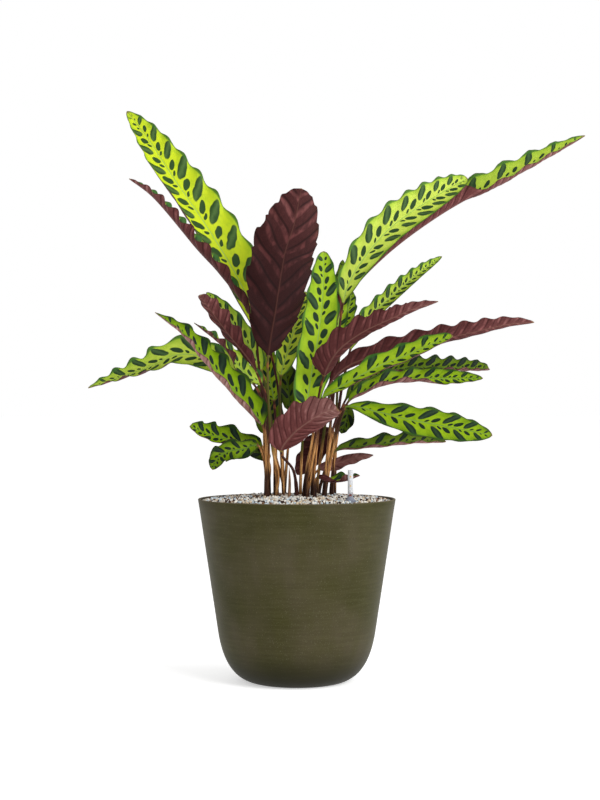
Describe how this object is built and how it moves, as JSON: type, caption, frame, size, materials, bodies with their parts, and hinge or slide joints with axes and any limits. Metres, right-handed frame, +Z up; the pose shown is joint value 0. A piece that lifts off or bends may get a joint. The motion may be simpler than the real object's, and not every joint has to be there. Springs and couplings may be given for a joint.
{
  "type": "potted calathea",
  "caption": "House plant with long waved, spotted leaves, maroon underneath, in a round tapered pot filled with pale gravel, with a clear water gauge.",
  "frame": {"origin": "middle of the pot's flat foot, on the surface it stands on", "axes": "+Z up along the pot's axis; -Y towards the front of the plant, the side with the water gauge"},
  "size_m": [0.5685, 0.2428, 0.6473],
  "materials": {
    "pot": "matt, finely speckled olive",
    "gravel": "dry mineral granulate, pale with brown and blue-grey grains",
    "gauge_clear": "clear moulded plastic",
    "gauge_housing": "plain moulded plastic",
    "gauge_float": "red moulded plastic",
    "leaf": "satin leaf, yellow-green with dark ovals above, maroon below"
  },
  "bodies": {
    "root": {"pot": "pot", "gravel": "gravel", "gauge_tube": "gauge_clear", "gauge_housing": "gauge_housing", "gauge_float": "gauge_float", "leaf_upper_left": "leaf", "leaf_left_slender": "leaf", "leaf_tall_front": "leaf", "leaf_left_small_front": "leaf", "leaf_left_small_back": "leaf", "leaf_left_narrow": "leaf", "leaf_left_long": "leaf", "leaf_left_arched": "leaf", "leaf_left_low": "leaf", "leaf_left_drooping": "leaf", "leaf_low_hidden": "leaf", "leaf_centre_upright": "leaf", "leaf_upper_right": "leaf", "leaf_far_right": "leaf", "leaf_right_small_back": "leaf", "leaf_right_turned": "leaf", "leaf_back_upright": "leaf", "leaf_right_long": "leaf", "leaf_right_front": "leaf", "leaf_right_level_back": "leaf", "leaf_right_level": "leaf", "leaf_right_broad": "leaf", "leaf_right_low": "leaf", "leaf_right_low_turned": "leaf", "leaf_lowest_right": "leaf", "leaf_front_turned": "leaf", "leaf_back_hanging": "leaf", "leaf_inner_green": "leaf", "leaf_inner_left": "leaf", "leaf_back_dark": "leaf", "leaf_back_dark_left": "leaf", "leaf_right_hanging": "leaf", "leaf_back_tip": "leaf"}
  },
  "joints": []
}
